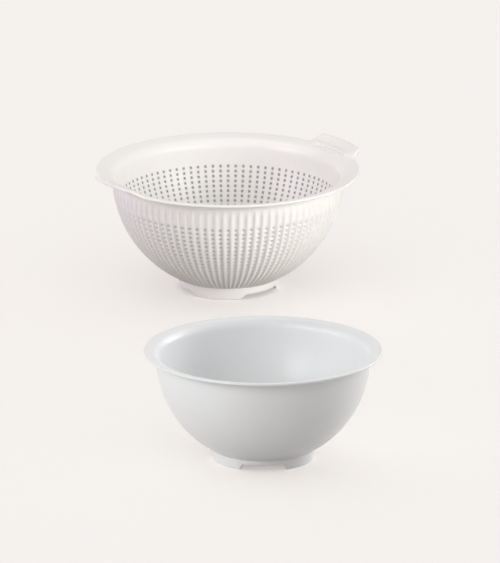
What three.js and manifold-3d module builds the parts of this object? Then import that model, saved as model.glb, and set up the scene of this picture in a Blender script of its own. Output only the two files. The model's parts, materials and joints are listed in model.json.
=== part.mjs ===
// A colander and the mixing bowl that it drains into: two plastic mouldings that stand on one table.
// Units are millimetres and +Z is up. Both pieces stand on the plane z = 0, and the origin lies on
// that plane under the middle of the pair's bounding box.
import * as THREE from "three";
import { mergeVertices } from "three/addons/utils/BufferGeometryUtils.js";
import Module from "manifold-3d";

const wasm = await Module();
wasm.setup();

const DEGREE = Math.PI / 180;
const TURN = 360 * DEGREE;

// Bowl
const BOWL_HEIGHT = 117; // table to the top of the lip
const BOWL_LIP_RADIUS = 125; // outer edge of the lip
const BOWL_BODY_RADIUS = 112; // outside of the round wall
const BOWL_WALL = 2.6;
const BOWL_LIP_BEND = 7; // length of wall, and of lip, that the bend between them takes up
const BOWL_LIP_TILT = 10 * DEGREE; // rise of the lip towards its edge
const BOWL_FLOOR_LIFT = 5; // table to the underside of the flat floor
const BOWL_FOOT_RADIUS = 52.5; // outside of the foot ring
const BOWL_FOOT_HEIGHT = 11; // table to where the foot ring meets the round wall
const BOWL_LEG_HEIGHT = 6; // legs below the plain band of the foot ring
const BOWL_NOTCH_DIRECTION = -90 * DEGREE; // middle of one of the notches between the legs
const BOWL_NOTCH_ANGLE = 48 * DEGREE; // level top of a notch
const BOWL_NOTCH_RAMP = 5 * DEGREE; // slope at each end of a notch

// Colander
const COLANDER_HEIGHT = 130.5; // away from the handles, which rise above the lip
const COLANDER_LIP_RADIUS = 141.5;
const COLANDER_BODY_RADIUS = 122.5; // between the ribs
const COLANDER_WALL = 2.4;
const COLANDER_LIP_BEND = 9;
const COLANDER_LIP_TILT = 10 * DEGREE;
const COLANDER_FLOOR_LIFT = 10;
const COLANDER_FOOT_RADIUS = 53;
const COLANDER_FOOT_HEIGHT = 14;
const COLANDER_LEG_HEIGHT = 5;
const COLANDER_NOTCH_DIRECTION = -43 * DEGREE;
const COLANDER_NOTCH_ANGLE = 46 * DEGREE;
const COLANDER_NOTCH_RAMP = 12 * DEGREE;

// Foot rings of both pieces
const FOOT_WALL = 3;
const LEG_COUNT = 3;

// Ribs and holes of the colander's wall
const RIB_COUNT = 34;
const RIB_DEPTH = 1.5;
const RIB_SHARE = 0.32; // of the pitch between ribs
const HOLE_ROWS = 10;
const HOLE_SIZE = 6; // height of a hole, and its width as far as the next value lets it
const HOLE_SHARE = 0.42; // widest hole, of the pitch between ribs
const PLAIN_BAND = 28; // top of the lip to the first row of holes
const FOOT_MARGIN = 2; // foot ring to the last row of holes

// Drain holes of the colander's floor, in rings about a middle one
const DRAIN_RADIUS = 3;
const DRAIN_RINGS = 2;
const DRAIN_PITCH = 14;

// Handles of the colander
const HANDLE_DIRECTION = 34 * DEGREE; // the other handle is opposite
const HANDLE_WIDTH = 69; // straight part of the tab's outer edge
const HANDLE_SHOULDER = 11; // curve from the lip into the tab, at each side
const HANDLE_REACH = 12; // tab beyond the edge of the lip
const HANDLE_RISE = 8; // tab above the edge of the lip
const HANDLE_THICKNESS = 3.4;
const RIDGE_HEIGHT = 1.2; // grip ridges above the tab
const RIDGE_RISER = 1.5; // steep side of a ridge, towards the colander's axis
const RIDGE_TAIL = 5; // gentle side of a ridge, towards the outer edge
const RIDGE_SETBACKS = [15.5, 21]; // outer edge of the tab to the crest of each ridge
const RIDGE_LENGTHS = [66, 44];

// Where the colander stands, measured from the bowl's axis
const COLANDER_X = -37.3;
const COLANDER_Y = 624;

// Facets
const BOWL_SEGMENTS = 40;
const WALL_STEPS = 5;
const BEND_STEPS = 3;
const EDGE_STEPS = 3;
const SHOULDER_STEPS = 3;
const TAB_STEPS = 4;
const ROWS_PER_FACET = 2;
const FLATNESS = 0.01; // faces that lie this close to one plane become one face

const EMBED = 1; // depth by which joined shapes run into each other
const OVERCUT = 3; // length by which a cutter stands out of what it cuts

/** A point of an outline: x is the distance from the axis and y is the height. */
function point(radius, height) {
  return new THREE.Vector2(radius, height);
}

/** Values in even steps from one end to the other, both included. */
function evenly(from, to, steps) {
  return Array.from({ length: steps + 1 }, (_, i) => from + ((to - from) * i) / steps);
}

/** A closed geometry as a solid that can be joined and cut. */
function solidOf(geometry) {
  const bare = new THREE.BufferGeometry();
  bare.setAttribute("position", geometry.attributes.position);
  bare.setIndex(geometry.index);
  const welded = mergeVertices(bare, 1e-4);
  const triVerts = [];
  for (let i = 0; i < welded.index.count; i += 3) {
    const corners = welded.index.array.slice(i, i + 3);
    if (new Set(corners).size === 3) triVerts.push(...corners);
  }
  const vertProperties = welded.attributes.position.array;
  const mesh = new wasm.Mesh({ numProp: 3, vertProperties, triVerts: Uint32Array.from(triVerts) });
  return new wasm.Manifold(mesh);
}

/** A named mesh of a solid, with the slices of each flat face joined again. */
function meshOf(name, solid, material) {
  const { vertProperties, triVerts } = solid.asOriginal().simplify(FLATNESS).getMesh();
  const geometry = new THREE.BufferGeometry();
  geometry.setAttribute("position", new THREE.BufferAttribute(vertProperties, 3));
  geometry.setIndex(new THREE.BufferAttribute(triVerts, 1));
  const mesh = new THREE.Mesh(geometry.toNonIndexed(), material);
  mesh.geometry.computeVertexNormals();
  mesh.name = name;
  return mesh;
}

/** Solid of revolution of an outline about Z, with its first corner towards +X. */
function turned(outline, segments) {
  return solidOf(new THREE.LatheGeometry(outline, segments, TURN / 4).rotateX(TURN / 4));
}

/** Solid that an outline sweeps about Z from angle to angle. It may change shape on the way. */
function swept(outline, angles, shape = (place) => place) {
  const steps = angles.length - 1;
  const options = { depth: steps, steps, bevelEnabled: false };
  const geometry = new THREE.ExtrudeGeometry(new THREE.Shape(outline), options);
  const position = geometry.attributes.position;
  for (let i = 0; i < position.count; i += 1) {
    const angle = angles[steps - Math.round(position.getZ(i))];
    const { x, y } = shape(point(position.getX(i), position.getY(i)), angle);
    position.setXYZ(i, x * Math.cos(angle), x * Math.sin(angle), y);
  }
  return solidOf(geometry);
}

/** The driving dimensions of a round vessel with the places that follow from them. */
function vessel(size) {
  const radius = size.bodyRadius - size.wall / 2;
  const centre = size.footHeight + Math.sqrt(size.bodyRadius ** 2 - size.footRadius ** 2);
  const floor = size.floorLift + size.wall / 2;
  const edge = point(size.lipRadius - size.wall / 2, size.height - size.wall / 2);
  const corner = point(radius, edge.y - (edge.x - radius) * Math.tan(size.lipTilt));
  const lipAlong = point(Math.cos(size.lipTilt), Math.sin(size.lipTilt));
  const lipStart = corner.clone().addScaledVector(lipAlong, size.lipBend);
  const floorAngle = Math.asin((centre - floor) / radius);
  const topAngle = Math.asin((centre - corner.y + size.lipBend) / radius);
  return { ...size, radius, centre, floor, edge, corner, lipStart, floorAngle, topAngle };
}

/** Points of a vessel's round wall at angles below level, at a radius from its centre. */
function roundWall(v, radius, angles) {
  return angles.map((angle) => point(radius * Math.cos(angle), v.centre - radius * Math.sin(angle)));
}

/** Wall of a vessel: a sheet of even thickness over the floor, up the round wall and out to the lip. */
function sheet(v, wallAngles, segments) {
  const wall = roundWall(v, v.radius, wallAngles);
  const bend = new THREE.QuadraticBezierCurve(wall.at(-1), v.corner, v.lipStart);
  const line = [point(0, v.floor), ...wall, ...bend.getPoints(BEND_STEPS).slice(1), v.edge];
  const directions = line.map((_, i) => {
    const before = line[Math.max(i - 1, 0)];
    const after = i === 0 ? line[1].clone().setY(v.floor) : line[Math.min(i + 1, line.length - 1)];
    return after.clone().sub(before).normalize();
  });
  const outwards = directions.map(({ x, y }) => point(y, -x));
  const side = (offset) => line.map((place, i) => place.clone().addScaledVector(outwards[i], offset));
  const half = v.wall / 2;
  const tilt = directions.at(-1).angle();
  const [from, to] = [tilt - TURN / 4, tilt + TURN / 4];
  const rounding = new THREE.EllipseCurve(v.edge.x, v.edge.y, half, half, from, to);
  const edge = rounding.getPoints(EDGE_STEPS).slice(1, -1);
  return turned([...side(half), ...edge, ...side(-half).reverse()], segments);
}

/** Foot ring under a vessel: a plain band that stands on legs, with ramped notches between them. */
function footRing(v, segments) {
  const inner = v.footRadius - FOOT_WALL;
  const seat = (radius) => v.centre - Math.sqrt(v.radius ** 2 - radius ** 2);
  const bottom = [point(inner, 0), point(v.footRadius, 0)];
  const top = [point(v.footRadius, seat(v.footRadius)), point(inner, seat(inner))];
  let ring = turned([...bottom, ...top, bottom[0]], segments);
  const outer = (v.footRadius + OVERCUT) / Math.cos(v.notchAngle / 2);
  const under = [point(OVERCUT, -OVERCUT), point(outer, -OVERCUT)];
  const cut = [...under, point(outer, v.legHeight), point(OVERCUT, v.legHeight)];
  for (let leg = 0; leg < LEG_COUNT; leg += 1) {
    const middle = v.notchDirection + (leg * TURN) / LEG_COUNT;
    const level = [middle - v.notchAngle / 2, middle + v.notchAngle / 2];
    const ends = [level[0] - v.notchRamp, level[1] + v.notchRamp];
    const ramped = (place, angle) => point(place.x, ends.includes(angle) ? Math.min(place.y, 0) : place.y);
    ring = ring.subtract(swept(cut, [ends[0], ...level, ends[1]], ramped));
  }
  return ring;
}

/** The plain bowl. */
function bowl() {
  const v = vessel({
    height: BOWL_HEIGHT,
    lipRadius: BOWL_LIP_RADIUS,
    bodyRadius: BOWL_BODY_RADIUS,
    wall: BOWL_WALL,
    lipBend: BOWL_LIP_BEND,
    lipTilt: BOWL_LIP_TILT,
    floorLift: BOWL_FLOOR_LIFT,
    footRadius: BOWL_FOOT_RADIUS,
    footHeight: BOWL_FOOT_HEIGHT,
    legHeight: BOWL_LEG_HEIGHT,
    notchDirection: BOWL_NOTCH_DIRECTION,
    notchAngle: BOWL_NOTCH_ANGLE,
    notchRamp: BOWL_NOTCH_RAMP,
  });
  const wall = sheet(v, evenly(v.floorAngle, v.topAngle, WALL_STEPS), BOWL_SEGMENTS);
  return wall.add(footRing(v, BOWL_SEGMENTS));
}

/** Angles below level of the lines between the rows of holes, from the foot up to the plain band. */
function rowLines(v) {
  const lowest = Math.acos((v.footRadius + FOOT_MARGIN) / v.bodyRadius);
  const highest = Math.asin((v.centre - v.height + PLAIN_BAND) / v.radius);
  return evenly(lowest, highest, HOLE_ROWS);
}

/** Angles below level at which the facets of the perforated wall meet. */
function facetLines(v) {
  return rowLines(v).filter((_, i) => i % ROWS_PER_FACET === 0);
}

/** One rib outside the wall, from the foot ring up to the lip. */
function rib(v, direction) {
  const crestRadius = v.bodyRadius + RIB_DEPTH;
  const angles = [Math.acos(v.footRadius / crestRadius), ...facetLines(v), v.topAngle];
  const crest = roundWall(v, crestRadius, angles);
  const root = roundWall(v, v.radius, angles).reverse();
  const half = (RIB_SHARE * TURN) / RIB_COUNT / 2;
  return swept([...crest, ...root], [direction - half, direction + half]);
}

/** Cutter of one hole, square to the wall at an angle below level. */
function hole(v, below, direction) {
  const width = Math.min(HOLE_SIZE / (v.radius * Math.cos(below)), (HOLE_SHARE * TURN) / RIB_COUNT);
  const reach = v.wall / 2 + RIB_DEPTH + OVERCUT;
  const [inside, outside] = [-reach, reach].map((offset) => roundWall(v, v.radius + offset, [below])[0]);
  const up = point(Math.sin(below), Math.cos(below)).multiplyScalar(HOLE_SIZE / 2);
  const lower = [inside.clone().sub(up), outside.clone().sub(up)];
  const upper = [outside.clone().add(up), inside.clone().add(up)];
  return swept([...lower, ...upper], [direction - width / 2, direction + width / 2]);
}

/** Cutter of one drain hole through the floor. */
function drain(v, radius, direction) {
  const cylinder = new THREE.CylinderGeometry(DRAIN_RADIUS, DRAIN_RADIUS, v.wall + 2 * OVERCUT, 6);
  cylinder.rotateX(90 * DEGREE);
  cylinder.translate(radius * Math.cos(direction), radius * Math.sin(direction), v.floor);
  return solidOf(cylinder);
}

/** Cutters of all the holes in the wall and the floor. */
function holes(v) {
  const lines = rowLines(v);
  const cutters = [drain(v, 0, 0)];
  for (let ring = 1; ring <= DRAIN_RINGS; ring += 1) {
    const count = 6 * ring;
    for (let i = 0; i < count; i += 1) cutters.push(drain(v, ring * DRAIN_PITCH, (i * TURN) / count));
  }
  for (let column = 0; column < RIB_COUNT; column += 1) {
    const direction = ((column + 0.5) * TURN) / RIB_COUNT;
    for (let row = 0; row < HOLE_ROWS; row += 1) {
      cutters.push(hole(v, (lines[row] + lines[row + 1]) / 2, direction));
    }
  }
  return cutters.reduce((all, cutter) => all.add(cutter));
}

/** Puts a handle in place of a stretch of lip: the lip carried outwards and upwards as a ridged tab. */
function withHandle(body, v, direction) {
  const out = point(HANDLE_REACH, HANDLE_RISE);
  const tip = v.edge.clone().add(out);
  const along = tip.clone().sub(v.lipStart).normalize();
  const length = tip.distanceTo(v.lipStart);
  const half = HANDLE_THICKNESS / 2;
  const at = (back, up) =>
    tip.clone().add(point(-along.x * back - along.y * up, -along.y * back + along.x * up));
  const radius = tip.x;
  const flat = HANDLE_WIDTH / 2 / radius;
  const end = flat + HANDLE_SHOULDER / radius;
  const share = (angle) => 1 - THREE.MathUtils.smoothstep(Math.abs(angle - direction), flat, end);
  const blended = (place, angle) => {
    const outward = Math.max(0, (place.x - v.lipStart.x) / (tip.x - v.lipStart.x));
    return place.clone().addScaledVector(out, (share(angle) - 1) * outward);
  };
  const sweep = [
    ...evenly(direction - end, direction - flat, SHOULDER_STEPS),
    ...evenly(direction - flat, direction + flat, TAB_STEPS).slice(1, -1),
    ...evenly(direction + flat, direction + end, SHOULDER_STEPS),
  ];
  const underside = [at(length, -half), at(half, -half), at(0, -half / 2)];
  const topside = [at(0, half / 2), at(half, half), at(length, half)];
  let tab = swept([...underside, ...topside], sweep, blended);
  RIDGE_SETBACKS.forEach((setback, i) => {
    const [inner, outer] = [setback + RIDGE_RISER, setback - RIDGE_TAIL];
    const root = [at(inner, half), at(inner, half - EMBED), at(outer, half - EMBED), at(outer, half)];
    const span = RIDGE_LENGTHS[i] / 2 / radius;
    const angles = evenly(direction - span, direction + span, TAB_STEPS);
    tab = tab.add(swept([...root, at(setback, half + RIDGE_HEIGHT)], angles));
  });
  const [near, far] = [v.lipStart.x + EMBED, v.lipRadius + OVERCUT];
  const [low, high] = [v.lipStart.y - OVERCUT, v.height + OVERCUT];
  const gap = [point(near, low), point(far, low), point(far, high), point(near, high)];
  const [first, last] = [sweep[0] + EMBED / radius, sweep.at(-1) - EMBED / radius];
  const opening = swept(gap, sweep.map((angle) => THREE.MathUtils.clamp(angle, first, last)));
  return body.subtract(opening).add(tab);
}

/** The colander: a ribbed, perforated wall between a foot ring and a lip with two handles. */
function colander() {
  const v = vessel({
    height: COLANDER_HEIGHT,
    lipRadius: COLANDER_LIP_RADIUS,
    bodyRadius: COLANDER_BODY_RADIUS,
    wall: COLANDER_WALL,
    lipBend: COLANDER_LIP_BEND,
    lipTilt: COLANDER_LIP_TILT,
    floorLift: COLANDER_FLOOR_LIFT,
    footRadius: COLANDER_FOOT_RADIUS,
    footHeight: COLANDER_FOOT_HEIGHT,
    legHeight: COLANDER_LEG_HEIGHT,
    notchDirection: COLANDER_NOTCH_DIRECTION,
    notchAngle: COLANDER_NOTCH_ANGLE,
    notchRamp: COLANDER_NOTCH_RAMP,
  });
  let body = sheet(v, [v.floorAngle, ...facetLines(v), v.topAngle], RIB_COUNT);
  body = body.add(footRing(v, RIB_COUNT));
  for (let i = 0; i < RIB_COUNT; i += 1) body = body.add(rib(v, (i * TURN) / RIB_COUNT));
  body = withHandle(body, v, HANDLE_DIRECTION);
  body = withHandle(body, v, HANDLE_DIRECTION + TURN / 2);
  return body.subtract(holes(v));
}

/** The two pieces where they stand, with the origin under the middle of the pair. */
function buildSet() {
  const greyWhite = new THREE.MeshStandardMaterial({ color: "#e3e5e6", roughness: 0.2, metalness: 0 });
  const ivory = new THREE.MeshStandardMaterial({ color: "#f1eee8", roughness: 0.4, metalness: 0 });
  const bowlMesh = meshOf("bowl", bowl(), greyWhite);
  const colanderMesh = meshOf("colander", colander(), ivory);
  colanderMesh.position.set(COLANDER_X, COLANDER_Y, 0);
  const set = new THREE.Group().add(bowlMesh, colanderMesh);
  const middle = new THREE.Box3().setFromObject(set).getCenter(new THREE.Vector3());
  set.children.forEach((mesh) => mesh.position.sub(middle.clone().setZ(0)));
  return set;
}

export default buildSet();
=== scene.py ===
"""Looks of a ribbed colander and of the plain bowl that it drains into, both standing on a pale table.

Lengths are metres and angles are radians. A point of a piece is given by its distance from the piece's
own axis, its direction about that axis (counted from +X towards +Y) and its height above the table.
"""
import json
import math
from dataclasses import dataclass

import bpy
import numpy as np
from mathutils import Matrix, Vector
from mathutils.geometry import delaunay_2d_cdt


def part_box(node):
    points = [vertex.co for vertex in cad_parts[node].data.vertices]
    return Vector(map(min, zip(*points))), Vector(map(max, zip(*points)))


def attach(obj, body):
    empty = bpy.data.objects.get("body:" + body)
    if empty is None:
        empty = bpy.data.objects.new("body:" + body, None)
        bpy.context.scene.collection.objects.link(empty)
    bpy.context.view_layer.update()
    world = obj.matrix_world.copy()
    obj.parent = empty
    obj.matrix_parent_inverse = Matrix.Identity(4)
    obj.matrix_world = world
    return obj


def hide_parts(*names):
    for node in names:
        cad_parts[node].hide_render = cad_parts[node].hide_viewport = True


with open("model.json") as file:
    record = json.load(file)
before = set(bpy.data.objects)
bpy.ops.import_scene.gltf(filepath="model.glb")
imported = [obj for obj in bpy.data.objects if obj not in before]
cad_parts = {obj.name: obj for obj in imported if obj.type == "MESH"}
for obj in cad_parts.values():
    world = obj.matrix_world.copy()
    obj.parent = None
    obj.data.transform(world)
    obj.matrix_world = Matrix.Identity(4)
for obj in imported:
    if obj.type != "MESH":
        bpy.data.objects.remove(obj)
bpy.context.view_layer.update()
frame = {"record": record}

MM = 0.001
DEGREE = math.pi / 180
TURN = 2 * math.pi


# Sizes

FOOT_WALL = 3 * MM
FOOT_ROUNDING = 0.8 * MM  # radius of a foot ring's lower edges
LEG_COUNT = 3


@dataclass(frozen=True)
class Vessel:
    """Driving sizes of a round vessel, and the places that follow from them."""

    axis: tuple  # where it stands
    height: float  # table to the top of the lip
    lip_radius: float
    body_radius: float  # outside of the round wall, between any ribs
    wall: float
    lip_bend: float  # length of wall, and of lip, that the bend between them takes up
    lip_tilt: float  # rise of the lip towards its edge
    floor_lift: float  # table to the underside of the floor
    foot_radius: float
    foot_height: float
    leg_height: float
    notch_direction: float  # middle of one of the notches between the legs
    notch_angle: float  # level top of a notch
    notch_ramp: float  # slope at each end of a notch

    @property
    def inner_radius(self):
        return self.body_radius - self.wall

    @property
    def middle_radius(self):
        return self.body_radius - self.wall / 2

    @property
    def centre(self):
        """Height of the middle of the round wall, set by where that wall meets the foot."""
        return self.foot_height + math.sqrt(self.body_radius**2 - self.foot_radius**2)

    @property
    def floor_top(self):
        return self.floor_lift + self.wall

    @property
    def floor_edge(self):
        """Radius at which the floor's underside meets the round wall's outside."""
        return math.sqrt(self.body_radius**2 - (self.centre - self.floor_lift) ** 2)

    @property
    def floor_angle(self):
        """Angle below level at which the floor's top meets the round wall's inside."""
        return self.below_level(self.inner_radius, self.floor_top)

    @property
    def foot_inner_radius(self):
        return self.foot_radius - FOOT_WALL

    def below_level(self, sphere_radius, height):
        """Angle below level at which a sphere about the centre has a given height."""
        return math.asin((self.centre - height) / sphere_radius)


def placed(node):
    """Where a piece's axis stands and its lip's radius: the middle of its box and half the box's depth."""
    low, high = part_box(node)
    return {"axis": ((low.x + high.x) / 2, (low.y + high.y) / 2), "lip_radius": (high.y - low.y) / 2}


BOWL = Vessel(
    **placed("bowl"),
    height=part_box("bowl")[1].z,
    body_radius=112 * MM,
    wall=2.6 * MM,
    lip_bend=7 * MM,
    lip_tilt=10 * DEGREE,
    floor_lift=5 * MM,
    foot_radius=52.5 * MM,
    foot_height=11 * MM,
    leg_height=6 * MM,
    notch_direction=-90 * DEGREE,
    notch_angle=48 * DEGREE,
    notch_ramp=5 * DEGREE,
)
COLANDER = Vessel(
    **placed("colander"),
    height=130.5 * MM,
    body_radius=122.5 * MM,
    wall=2.4 * MM,
    lip_bend=9 * MM,
    lip_tilt=10 * DEGREE,
    floor_lift=10 * MM,
    foot_radius=53 * MM,
    foot_height=14 * MM,
    leg_height=5 * MM,
    notch_direction=-43 * DEGREE,
    notch_angle=46 * DEGREE,
    notch_ramp=12 * DEGREE,
)

# Ribs and holes of the colander's wall
RIB_COUNT = 90
RIB_DEPTH = 1.5 * MM
RIB_SHARE = 0.46  # of the pitch between ribs
CREST_SHARE = 0.26  # flat top of a rib, of the same pitch
RIB_FADE = (1, 1, 0.9)  # share of a rib's depth in each row of the plain band, going up
GROOVE_DEPTH = 0.8 * MM  # of the grooves between the ribs, into the wall
RUNG_HEIGHT = 2.0 * MM  # cross-ribs in the grooves, between the rows of holes
HOLE_ROWS = 20
HOLE_RADII = (1.0 * MM, 1.2 * MM)  # outside and inside the wall
HOLE_PAINTED_SHADE = (0.73, 1)  # painted shade at the holes' ends, outside and inside the wall, which darkens their bores
HOLE_DROP = 2.7 * MM  # by how much a hole falls towards the outside
HOLE_GROOVE_SHARE = 0.36  # largest hole radius, of the groove's width
PLAIN_BAND = 30 * MM  # top of the lip to the first row of holes
FOOT_MARGIN = 4 * MM  # foot ring to the last row of holes

# Drain holes of the colander's floor, in rings about a middle one
DRAIN_RADIUS = 3 * MM
DRAIN_RINGS = 2
DRAIN_FIRST_RING = 6  # holes in the first ring, and how many more each next ring has
DRAIN_PITCH = 14 * MM

# Handles of the colander
HANDLE_DIRECTIONS = (34 * DEGREE, 214 * DEGREE)
HANDLE_WIDTH = 69 * MM
HANDLE_SHOULDER = 11 * MM
HANDLE_REACH = 12 * MM
HANDLE_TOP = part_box("colander")[1].z
HANDLE_SWEEP = 1.2  # power by which the lip swings out and up into a handle
HANDLE_BEAD = 0.5 * MM  # by how much each side of the tab swells at its outer edge
BEAD_START = 0.75  # where that swelling starts, of the tab's length
RIDGE_HEIGHT = 2.1 * MM
RIDGE_SHARES = ((0.0, 0.07, 0.25), (0.26, 0.33, 0.56))  # riser, crest and tail, of the tab's length
RIDGE_LENGTHS = (44 * MM, 66 * MM)
RIDGE_END = 5 * MM  # over which a ridge dies away at each end

# Grids
BOWL_COLUMNS = 288
INNER_COLUMNS = (0, 3, 4)  # columns of each rib that the colander's inside has too: its feet and the groove
RIB_COLUMNS = (5, len(INNER_COLUMNS))  # for each rib, outside and inside the colander's wall
WALL_ROWS = 24  # of the bowl's round wall
BEND_ROWS = 7  # of the bend from the wall to the lip
# Rows along the lip, of its length, with some at the ends and crests of the grip ridges
LIP_SHARES = (0, 0.035, 0.07, 0.13, 0.19, 0.25, 0.26, 0.295, 0.33, 0.40, 0.48, 0.56, 0.68, 0.80, 0.90, 1)
UNDER_STEP = 3  # the lip's underside takes every third row of its top
EDGE_ROWS = 5  # round the lip's edge
ROUNDING_ROWS = 4  # of each rounded edge of a foot ring
HAUNCH_ROWS = 4  # from the floor's edge to the foot ring
FLOOR_ROWS = 5  # of each side of the bowl's floor
FLOOR_MIDDLE = 0.1  # row next to the middle of the bowl's underside, of the floor's radius
BOTTOM_ROWS = 5  # inside the colander, from the last row of holes to the floor
HOLE_SIDES = 8  # as many as the points round a hole's cell
DRAIN_SIDES = 24
INSIDE_ONLY = 1  # the drained floor's triangles stop at its outer ring
WELD = 1e-7  # points of that floor nearer than this are one


# Mesh of one piece

class Moulding:
    """Points and faces of one moulded piece, gathered grid by grid.

    Rows of a skin run the way a pencil follows the piece's section from the middle of its underside,
    out and up the outside, over the lip and down the inside, so that every face points outwards.
    """

    def __init__(self):
        self.points = []
        self.faces = []
        self.painted_shade = []
        self.rims = []
        self.count = 0

    def place(self, radius, direction, height, painted_shade=0):
        """Adds points by distance from the axis, direction and height. Returns their numbers.

        They all share one amount of painted shade, 0 on open plastic and 1 in a bore, where shade is
        painted into the colour.
        """
        radius, direction, height = np.broadcast_arrays(radius, direction, height)
        points = np.stack([radius * np.cos(direction), radius * np.sin(direction), height], axis=-1)
        numbers = self.count + np.arange(radius.size).reshape(radius.shape)
        self.points.append(points.reshape(-1, 3))
        self.painted_shade.append(np.full(radius.size, painted_shade, np.float32))
        self.count += radius.size
        return numbers

    def face(self, *corners):
        """Adds faces: each argument holds one corner of all of them."""
        corners = np.stack(np.broadcast_arrays(*corners), axis=-1)
        self.faces.append(corners.reshape(-1, corners.shape[-1]))

    def skin(self, *grids):
        """Four-sided faces between neighbouring rows of the grids in turn, each row closed on itself."""
        rows = np.concatenate(grids)
        after = np.roll(rows, -1, axis=1)
        self.face(rows[:-1], after[:-1], after[1:], rows[1:])

    def bore(self, ring, other):
        """Walls of holes between pairs of rings, whose edges are sharp. The last axis runs round a ring."""
        self.face(ring, np.roll(ring, -1, axis=-1), np.roll(other, -1, axis=-1), other)
        self.rims += [ring.reshape(-1, ring.shape[-1]), other.reshape(-1, other.shape[-1])]

    def piece(self, name, axis, material):
        """The mesh object of all the faces, smooth apart from its rims, with its axis where it stands."""
        corners = np.concatenate([faces.ravel() for faces in self.faces])
        sizes = np.concatenate([np.full(len(faces), faces.shape[1]) for faces in self.faces])
        used, corners = np.unique(corners, return_inverse=True)
        points = np.concatenate(self.points)[used] + np.array([*axis, 0])
        mesh = bpy.data.meshes.new(name)
        mesh.vertices.add(len(points))
        mesh.vertices.foreach_set("co", points.ravel())
        mesh.loops.add(len(corners))
        mesh.loops.foreach_set("vertex_index", corners.ravel())
        mesh.polygons.add(len(sizes))
        mesh.polygons.foreach_set("loop_start", np.cumsum(sizes) - sizes)
        mesh.polygons.foreach_set("use_smooth", np.ones(len(sizes), bool))
        mesh.update(calc_edges=True)
        # painted shade of the bores and hole ends, kept as a point attribute for the material
        painted_shade = np.concatenate(self.painted_shade)[used]
        mesh.attributes.new("painted_shade", "FLOAT", "POINT").data.foreach_set("value", painted_shade)
        self._mark_rims(mesh, used)
        mesh.materials.append(material)
        made = bpy.data.objects.new(name, mesh)
        bpy.context.scene.collection.objects.link(made)
        return made

    def _mark_rims(self, mesh, used):
        """Marks the edges along every rim as sharp."""
        ends = np.empty(len(mesh.edges) * 2, np.int64)
        mesh.edges.foreach_get("vertices", ends)
        pairs = [np.stack([ring, np.roll(ring, -1, axis=1)], axis=-1).reshape(-1, 2) for ring in self.rims]
        rims = np.searchsorted(used, np.concatenate(pairs))

        def code(pair):
            pair = np.sort(pair.reshape(-1, 2), axis=1)
            return pair[:, 0] * len(used) + pair[:, 1]

        sharp = mesh.attributes.new("sharp_edge", "BOOLEAN", "EDGE")
        sharp.data.foreach_set("value", np.isin(code(ends), code(rims)))


# Forms that both pieces share

def smoothstep(low, high, value):
    """0 below low, 1 above high, and an S-curve between them."""
    share = np.clip((value - low) / (high - low), 0, 1)
    return share * share * (3 - 2 * share)


def apart(first, second):
    """Angle between two directions, the short way round."""
    return np.abs((first - second + TURN / 2) % TURN - TURN / 2)


def notch_height(v, direction):
    """Height of the foot ring's underside: 0 under the legs, raised between them on S-curved ramps."""
    share = np.zeros_like(direction)
    for leg in range(LEG_COUNT):
        away = apart(direction, v.notch_direction + leg * TURN / LEG_COUNT)
        share = np.maximum(share, 1 - smoothstep(v.notch_angle / 2, v.notch_angle / 2 + v.notch_ramp, away))
    return v.leg_height * share


def sphere_height(v, sphere_radius, radius):
    """Height of a sphere about the vessel's centre, on its lower side, at a distance from the axis."""
    return v.centre - np.sqrt(sphere_radius**2 - radius**2)


def on_sphere(made, v, radius, angles, directions):
    """Adds rows of points of a sphere about the vessel's centre, at angles below level."""
    angles = angles[:, None]
    return made.place(radius * np.cos(angles), directions, v.centre - radius * np.sin(angles))


def lip_section(v, columns):
    """Middle line of the sheet from the top of the round wall over the bend and out to the lip's edge.

    The bend is a quadratic curve from the wall's direction into the lip's, and the lip is straight.
    Returns distance from the axis, height and share of the lip's length, as rows of equal columns.
    """
    edge = np.array([v.lip_radius - v.wall / 2, v.height - v.wall / 2])
    along = np.array([math.cos(v.lip_tilt), math.sin(v.lip_tilt)])
    corner = np.array([v.middle_radius, edge[1] - (edge[0] - v.middle_radius) * math.tan(v.lip_tilt)])
    below = v.below_level(v.middle_radius, corner[1] - v.lip_bend)
    start = np.array([v.middle_radius * math.cos(below), v.centre - v.middle_radius * math.sin(below)])
    end = corner + along * v.lip_bend
    t = np.linspace(0, 1, BEND_ROWS + 1)[:-1, None]
    bend = (1 - t) ** 2 * start + 2 * t * (1 - t) * corner + t**2 * end
    share = np.array(LIP_SHARES)[:, None]
    line = np.concatenate([bend, end + share * (edge - end)])
    shares = np.concatenate([np.zeros_like(t), share])
    return [part * np.ones(columns) for part in (line[:, :1], line[:, 1:], shares)]


def sides_of(radius, height, half, raised):
    """Underside, edge and top of a sheet about its middle line, as rows of distance and height.

    Each point is carried square to the line by half the thickness, and on top by what is raised as well.
    The edge is a half circle about the line's last point.
    """
    dr, dz = np.gradient(radius, axis=0), np.gradient(height, axis=0)
    length = np.hypot(dr, dz)
    dr, dz = dr / length, dz / length
    under = radius + dz * half, height - dr * half
    top = radius - dz * (half + raised), height + dr * (half + raised)
    turn = np.linspace(-TURN / 4, TURN / 4, EDGE_ROWS + 2)[1:-1, None]
    along, square = np.cos(turn) * half[-1], np.sin(turn) * half[-1]
    edge = radius[-1] + dr[-1] * along - dz[-1] * square, height[-1] + dz[-1] * along + dr[-1] * square
    below = np.r_[0:BEND_ROWS, BEND_ROWS : len(radius) : UNDER_STEP]
    return [np.concatenate([under[i][below], edge[i], top[i][::-1]]) for i in (0, 1)]


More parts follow.
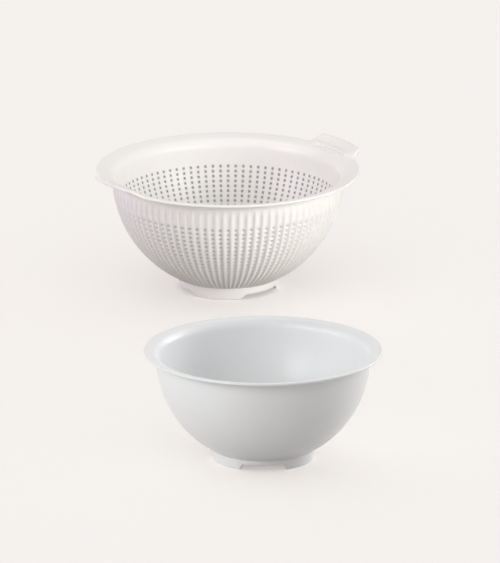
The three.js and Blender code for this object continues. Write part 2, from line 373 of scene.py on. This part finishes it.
def foot_rows(v, directions, seat):
    """Rows round the foot ring, as distance and height: down its inside, under it, and up its outside.

    Its two lower edges are quarter circles. The outside ends at the seat, where it meets the wall.
    """
    inner, outer = v.foot_inner_radius, v.foot_radius
    low = notch_height(v, directions)
    turn = np.linspace(0, TURN / 4, ROUNDING_ROWS)[:, None]
    lift, inset = FOOT_ROUNDING * (1 - np.sin(turn)), FOOT_ROUNDING * (1 - np.cos(turn))
    ceiling = sphere_height(v, v.body_radius, inner)
    radius = np.concatenate([[[inner]], inner + inset, outer - inset[::-1], [[outer]]])
    height = np.concatenate([ceiling + 0 * low[None], low + lift, low + lift[::-1], seat[None]])
    return radius + 0 * height, height


# Bowl

def bowl_piece(material):
    """The plain bowl: its section turned about the axis, with its foot ring raised at the notches.

    The section is a sphere outside, another one inside, a flat floor between them, and the lip.
    """
    v = BOWL
    made = Moulding()
    directions = np.arange(BOWL_COLUMNS) * TURN / BOWL_COLUMNS

    flat = np.linspace(FLOOR_MIDDLE, 1, FLOOR_ROWS) * v.floor_edge
    haunch = np.linspace(v.floor_edge, v.foot_inner_radius, HAUNCH_ROWS)[1:-1]
    radius = np.concatenate([flat, haunch])[:, None]
    height = np.maximum(v.floor_lift, sphere_height(v, v.body_radius, radius))
    under = made.place(radius, directions, height)
    radius, height = foot_rows(v, directions, np.full(BOWL_COLUMNS, v.foot_height))
    foot = made.place(radius, directions, height)

    radius, height, _ = lip_section(v, BOWL_COLUMNS)
    radius, height = sides_of(radius, height, np.full_like(radius, v.wall / 2), 0)
    lowest = math.acos(v.foot_radius / v.body_radius)
    angles = np.linspace(lowest, v.below_level(v.body_radius, height[0, 0]), WALL_ROWS + 1)[1:-1]
    outside = on_sphere(made, v, v.body_radius, angles, directions)
    lip = made.place(radius, directions, height)
    highest = v.below_level(v.inner_radius, height[-1, 0])
    angles = np.linspace(highest, v.floor_angle, WALL_ROWS + 1)[1:]
    inside = on_sphere(made, v, v.inner_radius, angles, directions)
    radius = np.linspace(v.inner_radius * math.cos(v.floor_angle), 0, FLOOR_ROWS + 2)[1:-1, None]
    floor = made.place(radius, directions, v.floor_top)

    made.skin(under, foot, outside, lip, inside, floor)
    made.rims.append(foot[[0, -1]])
    for row, middle in ((under[0][::-1], v.floor_lift), (floor[-1], v.floor_top)):
        pole = made.place(np.zeros(1), 0, middle)
        made.face(pole, row, np.roll(row, -1))
    return made.piece("bowl_moulding", v.axis, material)


# Colander

@dataclass(frozen=True)
class WallSide:
    """One side of the colander's wall, with the ends of the holes in it."""

    grid: np.ndarray  # numbers of its points, line by line going up
    lines: np.ndarray  # angles of those lines below level
    sphere: float  # radius of the side, between the ribs
    hole_radius: float
    painted_shade: float  # painted shade at the holes' ends
    columns: int  # of points for each rib
    faces_in: bool


def rib_columns():
    """Directions of the outside's columns, over each rib and along the groove beside it, and the ribs.

    A rib is 1 on its crest, 0 from its feet on, and straight between them.
    """
    half, crest = RIB_SHARE / 2, CREST_SHARE / 2
    across = np.array([-half, -crest, crest, half, 0.5])
    rib = np.array([0, 1, 1, 0, 0])
    directions = (np.arange(RIB_COUNT)[:, None] + across).ravel() * TURN / RIB_COUNT
    return directions, np.tile(rib, RIB_COUNT)


def handle_share(directions):
    """1 along each handle's tab, 0 along the plain lip, and an S-curve over the shoulders between them."""
    radius = COLANDER.lip_radius + HANDLE_REACH
    flat, end = HANDLE_WIDTH / 2 / radius, (HANDLE_WIDTH / 2 + HANDLE_SHOULDER) / radius
    return sum(1 - smoothstep(flat, end, apart(directions, middle)) for middle in HANDLE_DIRECTIONS)


def grip_ridges(share, directions):
    """Height of the handles' grip ridges: a steep riser on the inner side and a long tail outwards.

    Both are S-curves across the tab, and a third one along it lets each ridge die away at its ends.
    """
    away = np.min([apart(directions, middle) for middle in HANDLE_DIRECTIONS], axis=0)
    away = away * COLANDER.lip_radius
    raised = 0
    for (riser, crest, tail), length in zip(RIDGE_SHARES, RIDGE_LENGTHS):
        across = smoothstep(riser, crest, share) * (1 - smoothstep(crest, tail, share))
        raised = raised + across * (1 - smoothstep(length / 2 - RIDGE_END, length / 2, away))
    return RIDGE_HEIGHT * raised


def colander_lip(directions):
    """The colander's lip and handles: the lip carried outwards and upwards along each handle.

    It is carried by a power of the share of its length, times the handle's share there, and it thickens
    on an S-curve towards the handle's edge.
    """
    v = COLANDER
    radius, height, share = lip_section(v, len(directions))
    handle = handle_share(directions)
    out = share**HANDLE_SWEEP * handle
    half = v.wall / 2 + HANDLE_BEAD * handle * smoothstep(BEAD_START, 1, share)
    edge = v.wall / 2 + HANDLE_BEAD
    reach, rise = HANDLE_REACH - edge, HANDLE_TOP - edge - (v.height - v.wall / 2)
    return sides_of(radius + reach * out, height + rise * out, half, grip_ridges(share, directions))


def wall_sides(made, directions, rib, coarse):
    """Points of the wall's two sides, on lines at even angles below level, two for each row of holes.

    Both sides are spheres about one centre. Outside, the radius is that of the grooves, raised along each
    rib and, as a cross-rib, on every second line between the ribs. The lines outside lie lower than those
    inside by as much as a hole falls.
    """
    v = COLANDER
    lowest = math.acos((v.foot_radius + FOOT_MARGIN) / v.body_radius)
    highest = v.below_level(v.middle_radius, v.height - PLAIN_BAND)
    lines = np.linspace(lowest, highest, 2 * HOLE_ROWS + 1)
    drop = HOLE_DROP / 2 / v.middle_radius
    rung = (np.arange(len(lines)) % 2 == 0)[:, None]
    groove = v.body_radius - GROOVE_DEPTH
    radius = groove + (GROOVE_DEPTH + RIB_DEPTH) * rib + RUNG_HEIGHT * (1 - rib) * rung
    outer = WallSide(
        grid=on_sphere(made, v, radius, lines + drop, directions),
        lines=lines + drop,
        sphere=groove,
        hole_radius=HOLE_RADII[0],
        painted_shade=HOLE_PAINTED_SHADE[0],
        columns=RIB_COLUMNS[0],
        faces_in=False,
    )
    inner = WallSide(
        grid=on_sphere(made, v, v.inner_radius, lines - drop, coarse),
        lines=lines - drop,
        sphere=v.inner_radius,
        hole_radius=HOLE_RADII[1],
        painted_shade=HOLE_PAINTED_SHADE[1],
        columns=RIB_COLUMNS[1],
        faces_in=True,
    )
    return outer, inner


def rib_strips(made, side):
    """Four-sided faces over each rib of one side of the wall, which leave the grooves open."""
    for strip in range(side.columns - 2):
        first, second = side.grid[:, strip :: side.columns], side.grid[:, strip + 1 :: side.columns]
        corners = first[:-1], second[:-1], second[1:], first[1:]
        made.face(*(corners[::-1] if side.faces_in else corners))


def hole_cells(made, sides):
    """Round holes between the wall's two sides, one in each groove for each row.

    A ring of points about the hole's middle is joined to the eight points round its cell on either side,
    and the two rings to each other. The ring inside is the larger and the higher one.
    """
    column, row = np.meshgrid(np.arange(RIB_COUNT), np.arange(HOLE_ROWS), indexing="ij")
    column, row = column[..., None], row[..., None]
    # The eight points round a cell, from its right side: lines up and columns along from its lower left
    up = np.array([1, 2, 2, 2, 1, 0, 0, 0])
    along = np.array([2, 2, 1, 0, 0, 0, 1, 2])
    turn = np.arange(HOLE_SIDES) * TURN / HOLE_SIDES
    rings = []
    for side in sides:
        below = (side.lines[2 * row] + side.lines[2 * row + 2]) / 2
        level = side.sphere * np.cos(below)
        groove = (1 - RIB_SHARE) * TURN / RIB_COUNT * level
        widest = HOLE_GROOVE_SHARE * groove * side.hole_radius / max(HOLE_RADII)
        size = np.minimum(side.hole_radius, widest)
        angle = below - size * np.sin(turn) / side.sphere
        direction = (column + 0.5) * TURN / RIB_COUNT + size * np.cos(turn) / level
        height = COLANDER.centre - side.sphere * np.sin(angle)
        # each ring gets its side's painted shade, so the colour darkens down the bore
        ring = made.place(side.sphere * np.cos(angle), direction, height, side.painted_shade)
        start = (column + 1) * side.columns - 2
        border = side.grid[2 * row + up, (start + along) % side.grid.shape[1]]
        corners = border, np.roll(border, -1, axis=-1), np.roll(ring, -1, axis=-1), ring
        made.face(*(corners[::-1] if side.faces_in else corners))
        rings.append(ring)
    made.bore(*rings)


def colander_rim(made, directions, rib, coarse, sides):
    """The lip with its handles, and the plain bands between it and the rows of holes.

    The bands go on with the wall's two spheres. The ribs go on outside, and inside the columns are thinned
    from the lip's to the wall's, where one face with six corners lies behind each rib.
    """
    v = COLANDER
    outer, inner = sides
    rows = len(RIB_FADE) + 2
    radius, height = colander_lip(directions)
    lip = made.place(radius, directions, height)

    start = v.below_level(v.body_radius, height[0].mean())
    angles = np.linspace(outer.lines[-1], start, rows)[1:-1]
    crest = v.body_radius + RIB_DEPTH * rib * np.array(RIB_FADE)[:, None]
    band = on_sphere(made, v, crest, angles, directions)
    made.skin(outer.grid[-1:], band, lip)

    start = v.below_level(v.inner_radius, height[-1].mean())
    angles = np.linspace(start, inner.lines[-1], rows)[1:-1]
    band = on_sphere(made, v, v.inner_radius, angles[:1], directions)
    made.skin(lip[-1:], band)
    plain = on_sphere(made, v, v.inner_radius, angles[1:], coarse)
    fine, wide = band[-1].reshape(RIB_COUNT, -1), plain[0].reshape(RIB_COUNT, -1)
    made.face(*fine[:, :4].T, wide[:, 1], wide[:, 0])
    made.face(fine[:, 3], fine[:, 4], wide[:, 2], wide[:, 1])
    made.face(fine[:, 4], np.roll(fine[:, 0], -1), np.roll(wide[:, 0], -1), wide[:, 2])
    made.skin(plain, inner.grid[-1:])


def drain_middles():
    """Middles of the floor's drain holes: one on the axis and rings of six, twelve and so on about it."""
    middles = [np.zeros((1, 2))]
    for ring in range(1, DRAIN_RINGS + 1):
        turn = np.arange(DRAIN_FIRST_RING * ring) * TURN / (DRAIN_FIRST_RING * ring)
        middles.append(ring * DRAIN_PITCH * np.stack([np.cos(turn), np.sin(turn)], axis=-1))
    return np.concatenate(middles)


def drained_floor(made, under, top):
    """The flat floor between a ring of its underside and a ring of its top, with round drain holes.

    Each face is the flat triangulation of its outer ring and the holes' rings, without what lies in a hole.
    """
    middles = drain_middles()
    turn = np.arange(DRAIN_SIDES) * TURN / DRAIN_SIDES
    circle = DRAIN_RADIUS * np.stack([np.cos(turn), np.sin(turn)], axis=-1)
    x, y = np.moveaxis(middles[:, None] + circle, -1, 0)
    rings = []
    for outer, height, faces_down in ((under, COLANDER.floor_lift, True), (top, COLANDER.floor_top, False)):
        ring = made.place(np.hypot(x, y), np.arctan2(y, x), height)
        numbers = np.concatenate([outer, ring.ravel()])
        flat = np.concatenate(made.points)[numbers, :2]
        loops = [np.arange(len(outer)), *(len(outer) + np.arange(ring.size).reshape(ring.shape))]
        edges = np.concatenate([np.stack([loop, np.roll(loop, -1)], axis=-1) for loop in loops])
        found = delaunay_2d_cdt(flat.tolist(), edges.tolist(), [], INSIDE_ONLY, WELD)
        places, corners, sources = np.array(found[0]), np.array(found[2]), np.array(found[3])[:, 0]
        away = np.linalg.norm(places[corners].mean(axis=1)[:, None] - middles, axis=-1).min(axis=1)
        kept = numbers[sources][corners[away > DRAIN_RADIUS]]
        made.face(*(kept[:, ::-1] if faces_down else kept).T)
        rings.append(ring)
    made.bore(rings[1], rings[0])


def colander_foot(made, directions, rib, coarse, sides):
    """The foot ring, the wall between it and the last row of holes, and the floor.

    The foot ring meets the ribs and grooves of the wall at its own radius.
    """
    v = COLANDER
    outer, inner = sides
    haunch = np.linspace(v.floor_edge, v.foot_inner_radius, HAUNCH_ROWS)[:-1, None]
    under = made.place(haunch, directions, sphere_height(v, v.body_radius, haunch))
    seat = sphere_height(v, v.body_radius + RIB_DEPTH * rib, v.foot_radius)
    radius, height = foot_rows(v, directions, seat)
    foot = made.place(radius, directions, height)
    made.skin(under, foot, outer.grid[:1])
    made.rims.append(foot[[0, -1]])
    angles = np.linspace(inner.lines[0], v.floor_angle, BOTTOM_ROWS + 1)[1:]
    bottom = on_sphere(made, v, v.inner_radius, angles, coarse)
    made.skin(inner.grid[:1], bottom)
    drained_floor(made, under[0], bottom[-1])


def colander_piece(material):
    """The colander: a ribbed, perforated round wall between a foot ring and a lip with two handles."""
    made = Moulding()
    directions, rib = rib_columns()
    coarse = directions.reshape(RIB_COUNT, -1)[:, INNER_COLUMNS].ravel()
    sides = wall_sides(made, directions, rib, coarse)
    for side in sides:
        rib_strips(made, side)
    hole_cells(made, sides)
    colander_rim(made, directions, rib, coarse, sides)
    colander_foot(made, directions, rib, coarse, sides)
    return made.piece("colander_moulding", COLANDER.axis, material)


# Plastics

PLASTIC_IOR = 1.49
SCATTER_DEPTH = 4 * MM
SCATTER_TINT = (1.0, 0.9, 0.8)  # share of that depth for red, green and blue
CLOUD_SCALE, CLOUD_DETAIL = 16, 3
GLOSS_SCALE, GLOSS_DETAIL = 45, 4
GRAIN_SCALE, GRAIN_DETAIL = 1600, 2
GRAIN_DEPTH = 0.1 * MM
NOISE_RANGE = (0.3, 0.7)  # part of a cloud pattern's values that is spread over the full change
BORE_PAINTED_SHADE = 0.48  # painted shade in the bores: the darkest tone, as a share of the plastic's own colour
PAINTED_SHADE_FADE = 2.6  # power by which that painted shade fades out round a bore's ends


def wire(tree, source, output, target, socket):
    """Joins an output of one node to an input of another."""
    tree.links.new(source.outputs[output], target.inputs[socket])


def noise(tree, coordinates, scale, detail):
    """Cloud pattern on the piece's own coordinates."""
    made = tree.nodes.new("ShaderNodeTexNoise")
    made.inputs["Scale"].default_value = scale
    made.inputs["Detail"].default_value = detail
    wire(tree, coordinates, "Object", made, "Vector")
    return made


def arithmetic(tree, operation, first, second):
    """One step of arithmetic on an output and either a number or another output. Returns its output."""
    made = tree.nodes.new("ShaderNodeMath")
    made.operation = operation
    tree.links.new(first, made.inputs[0])
    if isinstance(second, (int, float)):
        made.inputs[1].default_value = second
    else:
        tree.links.new(second, made.inputs[1])
    return made.outputs[0]


def clouded_tone(tree, coordinates, shade, light):
    """A colour that drifts in soft clouds between two near tones."""
    tone = tree.nodes.new("ShaderNodeValToRGB")
    for stop, place, colour in zip(tone.color_ramp.elements, NOISE_RANGE, (shade, light)):
        stop.position = place
        stop.color = (*colour, 1)
    wire(tree, noise(tree, coordinates, CLOUD_SCALE, CLOUD_DETAIL), "Fac", tone, "Fac")
    return tone


def painted_bore_shade(tree, tone, shade):
    """The same colour with painted shade: darker in the bores of holes and round their ends."""
    bore = tree.nodes.new("ShaderNodeAttribute")
    bore.attribute_name = "painted_shade"
    bore_shade_mix = tree.nodes.new("ShaderNodeMixRGB")
    bore_shade_mix.inputs["Color2"].default_value = (*(BORE_PAINTED_SHADE * c for c in shade), 1)
    tree.links.new(arithmetic(tree, "POWER", bore.outputs["Fac"], PAINTED_SHADE_FADE), bore_shade_mix.inputs["Fac"])
    wire(tree, tone, "Color", bore_shade_mix, "Color1")
    return bore_shade_mix


def moulded_plastic(name, shade, light, roughness, grain, translucency):
    """White moulded plastic: cloudy between two near tones, with uneven gloss and a fine moulded grain."""
    material = bpy.data.materials.new(name)
    material.use_nodes = True
    tree = material.node_tree
    shader = tree.nodes["Principled BSDF"]
    shader.inputs["IOR"].default_value = PLASTIC_IOR
    shader.inputs["Subsurface Weight"].default_value = translucency
    shader.inputs["Subsurface Radius"].default_value = SCATTER_TINT
    shader.inputs["Subsurface Scale"].default_value = SCATTER_DEPTH
    coordinates = tree.nodes.new("ShaderNodeTexCoord")
    tone = clouded_tone(tree, coordinates, shade, light)
    # base colour with painted shade in the bores and round their ends
    wire(tree, painted_bore_shade(tree, tone, shade), "Color", shader, "Base Color")

    spread = tree.nodes.new("ShaderNodeMapRange")
    spread.inputs["From Min"].default_value, spread.inputs["From Max"].default_value = NOISE_RANGE
    spread.inputs["To Min"].default_value, spread.inputs["To Max"].default_value = roughness
    wire(tree, noise(tree, coordinates, GLOSS_SCALE, GLOSS_DETAIL), "Fac", spread, "Value")
    wire(tree, spread, "Result", shader, "Roughness")

    bump = tree.nodes.new("ShaderNodeBump")
    bump.inputs["Strength"].default_value = grain
    bump.inputs["Distance"].default_value = GRAIN_DEPTH
    wire(tree, noise(tree, coordinates, GRAIN_SCALE, GRAIN_DETAIL), "Fac", bump, "Height")
    wire(tree, bump, "Normal", shader, "Normal")
    return material


def toned(slot, *factors):
    """A slot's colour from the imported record, with a factor for its red, green and blue."""
    colour = next(m["base_color"] for m in frame["record"]["materials"] if m["slot"] == slot)
    return tuple(c * factor for c, factor in zip(colour, factors))


def grey_white_plastic():
    """The bowl's plastic: a cool grey-white with an even gloss."""
    return moulded_plastic(
        "gloss_grey_white_plastic",
        shade=toned("bowl_plastic", 0.99, 0.985, 0.98),
        light=toned("bowl_plastic", 1.015, 1.01, 1.005),
        roughness=(0.285, 0.33),
        grain=0.04,
        translucency=0.05,
    )


def ivory_plastic():
    """The colander's plastic: a warm ivory-white with a satin finish, and softer in the light."""
    return moulded_plastic(
        "satin_ivory_plastic",
        shade=toned("colander_plastic", 0.99, 0.99, 0.99),
        light=toned("colander_plastic", 1.02, 1.02, 1.02),
        roughness=(0.34, 0.42),
        grain=0.08,
        translucency=0.1,
    )


# Table and room

BACKGROUND = (0.913, 0.880, 0.855)
TABLE_SIZE = 60
TABLE_TONE = 0.95  # of the background's colour
ROOM_LIGHT = 0.58  # an even grey light from all sides
TABLE_GLOW = 1 - TABLE_TONE * ROOM_LIGHT  # brings the open table up to the background's colour


def seen_directly(tree):
    """1 for what the lens sees, straight on, in a gloss or through something clear, and 0 for the rest."""
    path = tree.nodes.new("ShaderNodeLightPath")
    seen = arithmetic(tree, "MAXIMUM", path.outputs["Is Camera Ray"], path.outputs["Is Glossy Ray"])
    return arithmetic(tree, "MAXIMUM", seen, path.outputs["Is Transmission Ray"])


def pale_table():
    """The table's finish: matt, with a glow to the lens that fills up what the room's light leaves dark."""
    material = bpy.data.materials.new("pale_table")
    material.use_nodes = True
    tree = material.node_tree
    tree.nodes.clear()
    lit = tree.nodes.new("ShaderNodeBsdfDiffuse")
    lit.inputs["Color"].default_value = (*(TABLE_TONE * c for c in BACKGROUND), 1)
    glow = tree.nodes.new("ShaderNodeEmission")
    glow.inputs["Color"].default_value = (*BACKGROUND, 1)
    tree.links.new(arithmetic(tree, "MULTIPLY", seen_directly(tree), TABLE_GLOW), glow.inputs["Strength"])
    both = tree.nodes.new("ShaderNodeAddShader")
    wire(tree, lit, 0, both, 0)
    wire(tree, glow, 0, both, 1)
    wire(tree, both, 0, tree.nodes.new("ShaderNodeOutputMaterial"), "Surface")
    return material


def set_table():
    """A wide, flat, pale table that keeps the pieces' shadows."""
    half = TABLE_SIZE / 2
    corners = [(-half, -half, 0), (half, -half, 0), (half, half, 0), (-half, half, 0)]
    mesh = bpy.data.meshes.new("table")
    mesh.from_pydata(corners, [], [(0, 1, 2, 3)])
    mesh.materials.append(pale_table())
    table = bpy.data.objects.new("table", mesh)
    bpy.context.scene.collection.objects.link(table)


def set_world():
    """An even room: the background's colour to the lens, and a soft grey light to the pieces."""
    world = bpy.data.worlds.new("room")
    bpy.context.scene.world = world
    world.use_nodes = True
    tree = world.node_tree
    tree.nodes.clear()
    room = tree.nodes.new("ShaderNodeBackground")
    room.inputs["Color"].default_value = (ROOM_LIGHT, ROOM_LIGHT, ROOM_LIGHT, 1)
    back = tree.nodes.new("ShaderNodeBackground")
    back.inputs["Color"].default_value = (*BACKGROUND, 1)
    mix = tree.nodes.new("ShaderNodeMixShader")
    tree.links.new(seen_directly(tree), mix.inputs["Fac"])
    wire(tree, room, 0, mix, 1)
    wire(tree, back, 0, mix, 2)
    wire(tree, mix, 0, tree.nodes.new("ShaderNodeOutputWorld"), "Surface")


# Lights

LIGHT_DISTANCE = 1.1
LIGHT_SIZE = 0.6
LIGHT_SPREAD = 50 * DEGREE
WHITE = (1, 1, 1)
LILAC = (1.0, 0.91, 1.09)


def lit_alone(piece):
    """A set of one piece, for the lights that fall on nothing else."""
    made = bpy.data.collections.new(f"{piece.name}_lit")
    made.objects.link(piece)
    return made


def softbox(vessel, lit, direction, elevation, watts, colour=WHITE):
    """A square soft light on one piece, turned towards its middle from a direction and an elevation."""
    target = Vector((*vessel.axis, vessel.height / 2))
    level = math.cos(elevation)
    towards = Vector((level * math.cos(direction), level * math.sin(direction), math.sin(elevation)))
    data = bpy.data.lights.new("softbox", "AREA")
    data.shape = "SQUARE"
    data.size = LIGHT_SIZE
    data.energy = watts
    data.spread = LIGHT_SPREAD
    data.color = colour
    light = bpy.data.objects.new("softbox", data)
    light.location = target + LIGHT_DISTANCE * towards
    light.rotation_euler = towards.to_track_quat("Z", "Y").to_euler()
    light.light_linking.receiver_collection = lit
    bpy.context.scene.collection.objects.link(light)


def light_colander(colander):
    """The colander's own lights: from the right and the front, a lilac one on its left and a high one."""
    lit = lit_alone(colander)
    softbox(COLANDER, lit, direction=-37 * DEGREE, elevation=15 * DEGREE, watts=0.83)
    softbox(COLANDER, lit, direction=-70 * DEGREE, elevation=20 * DEGREE, watts=0.18)
    softbox(COLANDER, lit, direction=200 * DEGREE, elevation=20 * DEGREE, watts=0.54, colour=LILAC)
    softbox(COLANDER, lit, direction=150 * DEGREE, elevation=60 * DEGREE, watts=0.19)


def light_bowl(bowl):
    """The bowl's own lights: two from the left, and two behind its right side that reach into it."""
    lit = lit_alone(bowl)
    softbox(BOWL, lit, direction=185 * DEGREE, elevation=12 * DEGREE, watts=0.34)
    softbox(BOWL, lit, direction=225 * DEGREE, elevation=25 * DEGREE, watts=0.45)
    softbox(BOWL, lit, direction=25 * DEGREE, elevation=15 * DEGREE, watts=0.72)
    softbox(BOWL, lit, direction=45 * DEGREE, elevation=35 * DEGREE, watts=0.27)


# Camera

IMAGE_SIZE = (500, 563)
LENS = 1500  # millimetres, so long that both pieces are seen at nearly one scale
SENSOR = 36  # millimetres
CLIP_SHARES = (0.1, 4)  # nearest and farthest that is seen, of the distance to the bowl's rim
ELEVATION = 16.6 * DEGREE
BOWL_RIM_PIXEL = (263.2, 349.5)  # middle of the bowl's rim in the photograph
BOWL_RIM_WIDTH = 239.5  # pixels


def set_camera():
    """Looks along +Y and down, so that the bowl's rim has its place and width in the photograph."""
    data = bpy.data.cameras.new("camera")
    data.lens = LENS
    data.sensor_width = SENSOR
    scale = 2 * BOWL.lip_radius / BOWL_RIM_WIDTH
    distance = LENS / SENSOR * max(IMAGE_SIZE) * scale
    data.clip_start, data.clip_end = (share * distance for share in CLIP_SHARES)
    forward = Vector((0, math.cos(ELEVATION), -math.sin(ELEVATION)))
    up = Vector((0, math.sin(ELEVATION), math.cos(ELEVATION)))
    right = (IMAGE_SIZE[0] / 2 - BOWL_RIM_PIXEL[0]) * scale
    higher = (BOWL_RIM_PIXEL[1] - IMAGE_SIZE[1] / 2) * scale
    aim = Vector((*BOWL.axis, BOWL.height)) + Vector((right, 0, 0)) + up * higher
    camera = bpy.data.objects.new("camera", data)
    camera.location = aim - forward * distance
    camera.rotation_euler = (TURN / 4 - ELEVATION, 0, 0)
    bpy.context.scene.collection.objects.link(camera)
    bpy.context.scene.camera = camera


# Scene

def set_pieces():
    """Makes both pieces and says which body carries each. Returns the bowl and the colander."""
    pieces = bowl_piece(grey_white_plastic()), colander_piece(ivory_plastic())
    for node, piece in zip(("bowl", "colander"), pieces):
        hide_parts(node)
        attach(piece, node)
    return pieces


set_camera()
bowl, colander = set_pieces()
set_table()
set_world()
light_colander(colander)
light_bowl(bowl)
bpy.context.scene.view_settings.view_transform = "Standard"
